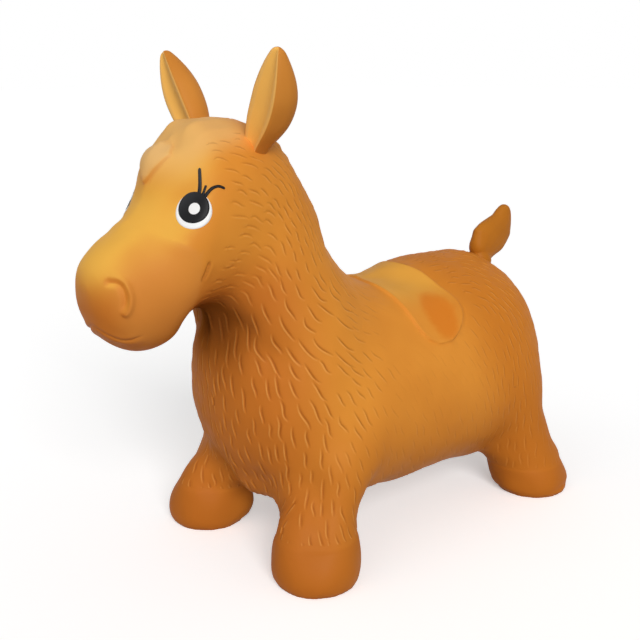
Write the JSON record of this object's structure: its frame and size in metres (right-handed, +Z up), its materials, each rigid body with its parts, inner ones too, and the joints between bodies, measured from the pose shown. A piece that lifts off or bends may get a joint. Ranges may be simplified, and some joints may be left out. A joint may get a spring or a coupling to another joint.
{
  "type": "bouncy ride on animal",
  "caption": "Air-filled rubber ride-on horse with bending ears to hold, a swaying tail, a moulded saddle, painted eyes and a belly air valve with a push-in plug.",
  "frame": {"origin": "on the floor, under the middle of the object's box", "axes": "+Z up, the horse looks along -Y, its left side is +X"},
  "size_m": [0.2868, 0.6011, 0.5258],
  "materials": {
    "orange_rubber": "satin",
    "ear_rubber": "satin",
    "tail_rubber": "satin",
    "plug_plastic": "satin",
    "white_paint": "gloss",
    "black_paint": "gloss"
  },
  "bodies": {
    "body": {"skin": "orange_rubber", "eye_white_left": "white_paint", "eye_white_right": "white_paint", "eye_black_left": "black_paint", "eye_black_right": "black_paint", "eye_glint_left": "white_paint", "eye_glint_right": "white_paint"},
    "left_ear": {"ear_left": "ear_rubber"},
    "right_ear": {"ear_right": "ear_rubber"},
    "tail": {"tail": "tail_rubber"},
    "plug": {"valve_plug": "plug_plastic"}
  },
  "joints": [
    {"name": "left_ear_bend", "type": "hinge", "parent": "body", "child": "left_ear", "pos_m": [0.0471, -0.13801, 0.43862], "axis": [0.6919, 0, -0.722], "range_deg": [-25, 20], "stiffness_Nm_per_rad": 0.8},
    {"name": "right_ear_bend", "type": "hinge", "parent": "body", "child": "right_ear", "pos_m": [-0.0471, -0.13801, 0.43862], "axis": [0.6919, 0, 0.722], "range_deg": [-25, 20], "stiffness_Nm_per_rad": 0.8},
    {"name": "tail_sway", "type": "hinge", "parent": "body", "child": "tail", "pos_m": [0, 0.24602, 0.2733], "axis": [0, 1, 0], "range_deg": [-25, 25], "stiffness_Nm_per_rad": 0.5},
    {"name": "plug_pull", "type": "slide", "parent": "body", "child": "plug", "axis": [0, 0, -1], "range_m": [0, 0.022]}
  ]
}
